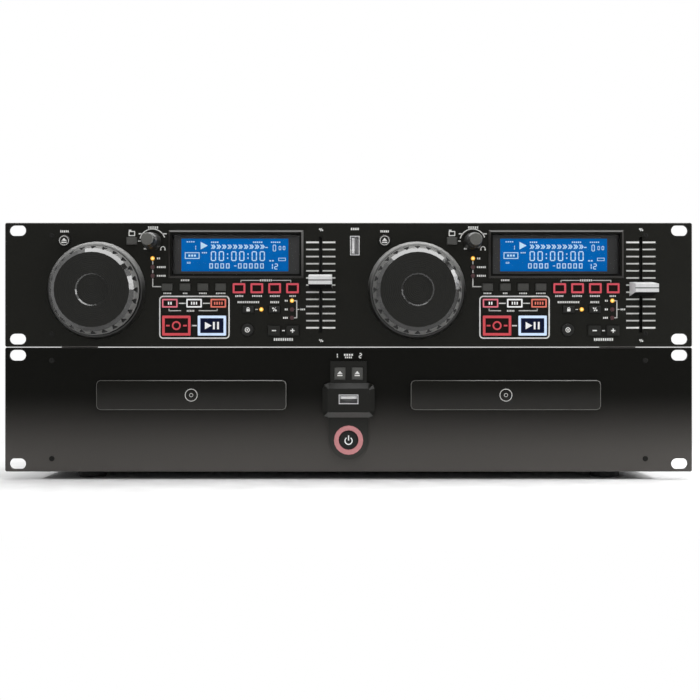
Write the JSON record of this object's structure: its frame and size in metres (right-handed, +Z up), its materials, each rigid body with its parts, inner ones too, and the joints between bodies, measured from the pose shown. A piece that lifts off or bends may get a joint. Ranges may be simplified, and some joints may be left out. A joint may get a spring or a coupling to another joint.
{
  "type": "dual cd player",
  "caption": "Rack-mount disc player for DJs: a deck controller with jog wheels, displays and pitch faders above a tray-loading disc transport.",
  "frame": {"origin": "on the floor, under the middle of the pair's bounding box", "axes": "+X to the right seen from the front, +Y from the front panels to the back, +Z up"},
  "size_m": [0.4826, 0.267, 0.1803],
  "materials": {
    "case_steel": "black powder coat, fine texture",
    "controller_panel": "satin black anodised",
    "player_panel": "dark grey anodised, satin, reflecting",
    "control_bezel": "black, satin to gloss",
    "drive_plastic": "black moulded plastic",
    "board": "green board with components",
    "rubber": "matt black rubber",
    "socket_metal": "plated steel",
    "bezel": "gloss black",
    "window": "clear window",
    "grey_key": "grey rubber-like key",
    "lamp": "lamp lens",
    "black_key": "black key with a printed sign",
    "effect_key": "lit red frame round a dark middle",
    "loop_key": "lit frame round a dark middle",
    "cue_key": "lit red frame round a dark middle",
    "play_key": "lit pale blue frame round a dark blue middle",
    "jog_plastic": "black, grooved satin top and glossy shoulder",
    "knob_plastic": "black knob with a grey cap",
    "fader_cap": "silver white cap with a dark line",
    "tray_plastic": "black moulded plastic, satin fascia",
    "gear_plastic": "natural moulded plastic"
  },
  "bodies": {
    "root": {"player_chassis": "case_steel", "player_top_cover": "case_steel", "player_front_panel": "player_panel", "player_control_bezel": "control_bezel", "disc_drives": "drive_plastic", "player_board": "board", "rubber_feet": "rubber", "usb_and_power_sockets": "socket_metal", "controller_rear_case": "case_steel", "controller_front_panel": "controller_panel", "controller_board": "board", "panel_bezels": "bezel", "display_windows": "window", "menu_key_strips": "grey_key", "indicator_lamps": "lamp"},
    "left_jog_wheel": {"left_jog_wheel": "jog_plastic"},
    "left_track_knob": {"left_track_knob": "knob_plastic"},
    "left_pitch_fader": {"left_pitch_fader": "fader_cap"},
    "left_folder_button": {"left_folder_button": "grey_key"},
    "left_eject_button": {"left_eject_button": "black_key"},
    "left_tap_button": {"left_tap_button": "black_key"},
    "left_loop_in_button": {"left_loop_in_button": "loop_key"},
    "left_loop_out_button": {"left_loop_out_button": "loop_key"},
    "left_reloop_button": {"left_reloop_button": "loop_key"},
    "left_cue_button": {"left_cue_button": "cue_key"},
    "left_play_button": {"left_play_button": "play_key"},
    "left_key_lock_button": {"left_key_lock_button": "black_key"},
    "left_pitch_range_button": {"left_pitch_range_button": "black_key"},
    "left_pitch_bend_down_button": {"left_pitch_bend_down_button": "black_key"},
    "left_pitch_bend_up_button": {"left_pitch_bend_up_button": "black_key"},
    "left_effect_button_1": {"left_effect_button_1": "effect_key"},
    "left_effect_button_2": {"left_effect_button_2": "effect_key"},
    "left_effect_button_3": {"left_effect_button_3": "effect_key"},
    "left_effect_button_4": {"left_effect_button_4": "effect_key"},
    "right_jog_wheel": {"right_jog_wheel": "jog_plastic"},
    "right_track_knob": {"right_track_knob": "knob_plastic"},
    "right_pitch_fader": {"right_pitch_fader": "fader_cap"},
    "right_folder_button": {"right_folder_button": "grey_key"},
    "right_eject_button": {"right_eject_button": "black_key"},
    "right_tap_button": {"right_tap_button": "black_key"},
    "right_loop_in_button": {"right_loop_in_button": "loop_key"},
    "right_loop_out_button": {"right_loop_out_button": "loop_key"},
    "right_reloop_button": {"right_reloop_button": "loop_key"},
    "right_cue_button": {"right_cue_button": "cue_key"},
    "right_play_button": {"right_play_button": "play_key"},
    "right_key_lock_button": {"right_key_lock_button": "black_key"},
    "right_pitch_range_button": {"right_pitch_range_button": "black_key"},
    "right_pitch_bend_down_button": {"right_pitch_bend_down_button": "black_key"},
    "right_pitch_bend_up_button": {"right_pitch_bend_up_button": "black_key"},
    "right_effect_button_1": {"right_effect_button_1": "effect_key"},
    "right_effect_button_2": {"right_effect_button_2": "effect_key"},
    "right_effect_button_3": {"right_effect_button_3": "effect_key"},
    "right_effect_button_4": {"right_effect_button_4": "effect_key"},
    "left_disc_tray": {"left_disc_tray": "tray_plastic"},
    "left_tray_gear": {"left_tray_gear": "gear_plastic"},
    "left_tray_button": {"left_tray_button": "black_key"},
    "right_disc_tray": {"right_disc_tray": "tray_plastic"},
    "right_tray_gear": {"right_tray_gear": "gear_plastic"},
    "right_tray_button": {"right_tray_button": "black_key"},
    "power_button": {"power_button": "black_key"}
  },
  "joints": [
    {"name": "left_jog_spin", "type": "hinge", "parent": "root", "child": "left_jog_wheel", "pos_m": [-0.177, -0.1115, 0.1326], "axis": [0, 1, 0], "continuous": true},
    {"name": "left_track_turn", "type": "hinge", "parent": "root", "child": "left_track_knob", "pos_m": [-0.1377, -0.1115, 0.1669], "axis": [0, 1, 0], "continuous": true},
    {"name": "left_pitch_slide", "type": "slide", "parent": "root", "child": "left_pitch_fader", "axis": [0, 0, 1], "range_m": [-0.0323, 0.0277]},
    {"name": "left_folder_press", "type": "slide", "parent": "root", "child": "left_folder_button", "axis": [0, 1, 0], "range_m": [0, 0.0008], "stiffness_N_per_m": 600, "springref_m": -0.001},
    {"name": "left_eject_press", "type": "slide", "parent": "root", "child": "left_eject_button", "axis": [0, 1, 0], "range_m": [0, 0.0008], "stiffness_N_per_m": 600, "springref_m": -0.001},
    {"name": "left_tap_press", "type": "slide", "parent": "root", "child": "left_tap_button", "axis": [0, 1, 0], "range_m": [0, 0.0008], "stiffness_N_per_m": 600, "springref_m": -0.001},
    {"name": "left_loop_in_press", "type": "slide", "parent": "root", "child": "left_loop_in_button", "axis": [0, 1, 0], "range_m": [0, 0.0008], "stiffness_N_per_m": 600, "springref_m": -0.001},
    {"name": "left_loop_out_press", "type": "slide", "parent": "root", "child": "left_loop_out_button", "axis": [0, 1, 0], "range_m": [0, 0.0008], "stiffness_N_per_m": 600, "springref_m": -0.001},
    {"name": "left_reloop_press", "type": "slide", "parent": "root", "child": "left_reloop_button", "axis": [0, 1, 0], "range_m": [0, 0.0008], "stiffness_N_per_m": 600, "springref_m": -0.001},
    {"name": "left_cue_press", "type": "slide", "parent": "root", "child": "left_cue_button", "axis": [0, 1, 0], "range_m": [0, 0.0008], "stiffness_N_per_m": 600, "springref_m": -0.001},
    {"name": "left_play_press", "type": "slide", "parent": "root", "child": "left_play_button", "axis": [0, 1, 0], "range_m": [0, 0.0008], "stiffness_N_per_m": 600, "springref_m": -0.001},
    {"name": "left_key_lock_press", "type": "slide", "parent": "root", "child": "left_key_lock_button", "axis": [0, 1, 0], "range_m": [0, 0.0008], "stiffness_N_per_m": 600, "springref_m": -0.001},
    {"name": "left_pitch_range_press", "type": "slide", "parent": "root", "child": "left_pitch_range_button", "axis": [0, 1, 0], "range_m": [0, 0.0008], "stiffness_N_per_m": 600, "springref_m": -0.001},
    {"name": "left_pitch_bend_down_press", "type": "slide", "parent": "root", "child": "left_pitch_bend_down_button", "axis": [0, 1, 0], "range_m": [0, 0.0008], "stiffness_N_per_m": 600, "springref_m": -0.001},
    {"name": "left_pitch_bend_up_press", "type": "slide", "parent": "root", "child": "left_pitch_bend_up_button", "axis": [0, 1, 0], "range_m": [0, 0.0008], "stiffness_N_per_m": 600, "springref_m": -0.001},
    {"name": "left_effect_1_press", "type": "slide", "parent": "root", "child": "left_effect_button_1", "axis": [0, 1, 0], "range_m": [0, 0.0008], "stiffness_N_per_m": 600, "springref_m": -0.001},
    {"name": "left_effect_2_press", "type": "slide", "parent": "root", "child": "left_effect_button_2", "axis": [0, 1, 0], "range_m": [0, 0.0008], "stiffness_N_per_m": 600, "springref_m": -0.001},
    {"name": "left_effect_3_press", "type": "slide", "parent": "root", "child": "left_effect_button_3", "axis": [0, 1, 0], "range_m": [0, 0.0008], "stiffness_N_per_m": 600, "springref_m": -0.001},
    {"name": "left_effect_4_press", "type": "slide", "parent": "root", "child": "left_effect_button_4", "axis": [0, 1, 0], "range_m": [0, 0.0008], "stiffness_N_per_m": 600, "springref_m": -0.001},
    {"name": "right_jog_spin", "type": "hinge", "parent": "root", "child": "right_jog_wheel", "pos_m": [0.0478, -0.1115, 0.1326], "axis": [0, 1, 0], "continuous": true},
    {"name": "right_track_turn", "type": "hinge", "parent": "root", "child": "right_track_knob", "pos_m": [0.0871, -0.1115, 0.1669], "axis": [0, 1, 0], "continuous": true},
    {"name": "right_pitch_slide", "type": "slide", "parent": "root", "child": "right_pitch_fader", "axis": [0, 0, 1], "range_m": [-0.0269, 0.0331]},
    {"name": "right_folder_press", "type": "slide", "parent": "root", "child": "right_folder_button", "axis": [0, 1, 0], "range_m": [0, 0.0008], "stiffness_N_per_m": 600, "springref_m": -0.001},
    {"name": "right_eject_press", "type": "slide", "parent": "root", "child": "right_eject_button", "axis": [0, 1, 0], "range_m": [0, 0.0008], "stiffness_N_per_m": 600, "springref_m": -0.001},
    {"name": "right_tap_press", "type": "slide", "parent": "root", "child": "right_tap_button", "axis": [0, 1, 0], "range_m": [0, 0.0008], "stiffness_N_per_m": 600, "springref_m": -0.001},
    {"name": "right_loop_in_press", "type": "slide", "parent": "root", "child": "right_loop_in_button", "axis": [0, 1, 0], "range_m": [0, 0.0008], "stiffness_N_per_m": 600, "springref_m": -0.001},
    {"name": "right_loop_out_press", "type": "slide", "parent": "root", "child": "right_loop_out_button", "axis": [0, 1, 0], "range_m": [0, 0.0008], "stiffness_N_per_m": 600, "springref_m": -0.001},
    {"name": "right_reloop_press", "type": "slide", "parent": "root", "child": "right_reloop_button", "axis": [0, 1, 0], "range_m": [0, 0.0008], "stiffness_N_per_m": 600, "springref_m": -0.001},
    {"name": "right_cue_press", "type": "slide", "parent": "root", "child": "right_cue_button", "axis": [0, 1, 0], "range_m": [0, 0.0008], "stiffness_N_per_m": 600, "springref_m": -0.001},
    {"name": "right_play_press", "type": "slide", "parent": "root", "child": "right_play_button", "axis": [0, 1, 0], "range_m": [0, 0.0008], "stiffness_N_per_m": 600, "springref_m": -0.001},
    {"name": "right_key_lock_press", "type": "slide", "parent": "root", "child": "right_key_lock_button", "axis": [0, 1, 0], "range_m": [0, 0.0008], "stiffness_N_per_m": 600, "springref_m": -0.001},
    {"name": "right_pitch_range_press", "type": "slide", "parent": "root", "child": "right_pitch_range_button", "axis": [0, 1, 0], "range_m": [0, 0.0008], "stiffness_N_per_m": 600, "springref_m": -0.001},
    {"name": "right_pitch_bend_down_press", "type": "slide", "parent": "root", "child": "right_pitch_bend_down_button", "axis": [0, 1, 0], "range_m": [0, 0.0008], "stiffness_N_per_m": 600, "springref_m": -0.001},
    {"name": "right_pitch_bend_up_press", "type": "slide", "parent": "root", "child": "right_pitch_bend_up_button", "axis": [0, 1, 0], "range_m": [0, 0.0008], "stiffness_N_per_m": 600, "springref_m": -0.001},
    {"name": "right_effect_1_press", "type": "slide", "parent": "root", "child": "right_effect_button_1", "axis": [0, 1, 0], "range_m": [0, 0.0008], "stiffness_N_per_m": 600, "springref_m": -0.001},
    {"name": "right_effect_2_press", "type": "slide", "parent": "root", "child": "right_effect_button_2", "axis": [0, 1, 0], "range_m": [0, 0.0008], "stiffness_N_per_m": 600, "springref_m": -0.001},
    {"name": "right_effect_3_press", "type": "slide", "parent": "root", "child": "right_effect_button_3", "axis": [0, 1, 0], "range_m": [0, 0.0008], "stiffness_N_per_m": 600, "springref_m": -0.001},
    {"name": "right_effect_4_press", "type": "slide", "parent": "root", "child": "right_effect_button_4", "axis": [0, 1, 0], "range_m": [0, 0.0008], "stiffness_N_per_m": 600, "springref_m": -0.001},
    {"name": "left_tray_slide", "type": "slide", "parent": "root", "child": "left_disc_tray", "axis": [0, -1, 0], "range_m": [0, 0.13]},
    {"name": "left_tray_gear_turn", "type": "hinge", "parent": "root", "child": "left_tray_gear", "pos_m": [-0.151, -0.0905, 0.05175], "axis": [0, 0, 1], "range_deg": [0, 777]},
    {"name": "left_tray_press", "type": "slide", "parent": "root", "child": "left_tray_button", "axis": [0, 1, 0], "range_m": [0, 0.0008], "stiffness_N_per_m": 600, "springref_m": -0.001},
    {"name": "right_tray_slide", "type": "slide", "parent": "root", "child": "right_disc_tray", "axis": [0, -1, 0], "range_m": [0, 0.13]},
    {"name": "right_tray_gear_turn", "type": "hinge", "parent": "root", "child": "right_tray_gear", "pos_m": [0.0694, -0.0905, 0.05175], "axis": [0, 0, 1], "range_deg": [0, 777]},
    {"name": "right_tray_press", "type": "slide", "parent": "root", "child": "right_tray_button", "axis": [0, 1, 0], "range_m": [0, 0.0008], "stiffness_N_per_m": 600, "springref_m": -0.001},
    {"name": "power_press", "type": "slide", "parent": "root", "child": "power_button", "axis": [0, 1, 0], "range_m": [0, 0.0008], "stiffness_N_per_m": 600, "springref_m": -0.001}
  ],
  "couplings": [
    {"joint": "left_tray_gear_turn", "follows": "left_tray_slide", "rad_per_m": 104.17},
    {"joint": "right_tray_gear_turn", "follows": "right_tray_slide", "rad_per_m": 104.17}
  ]
}
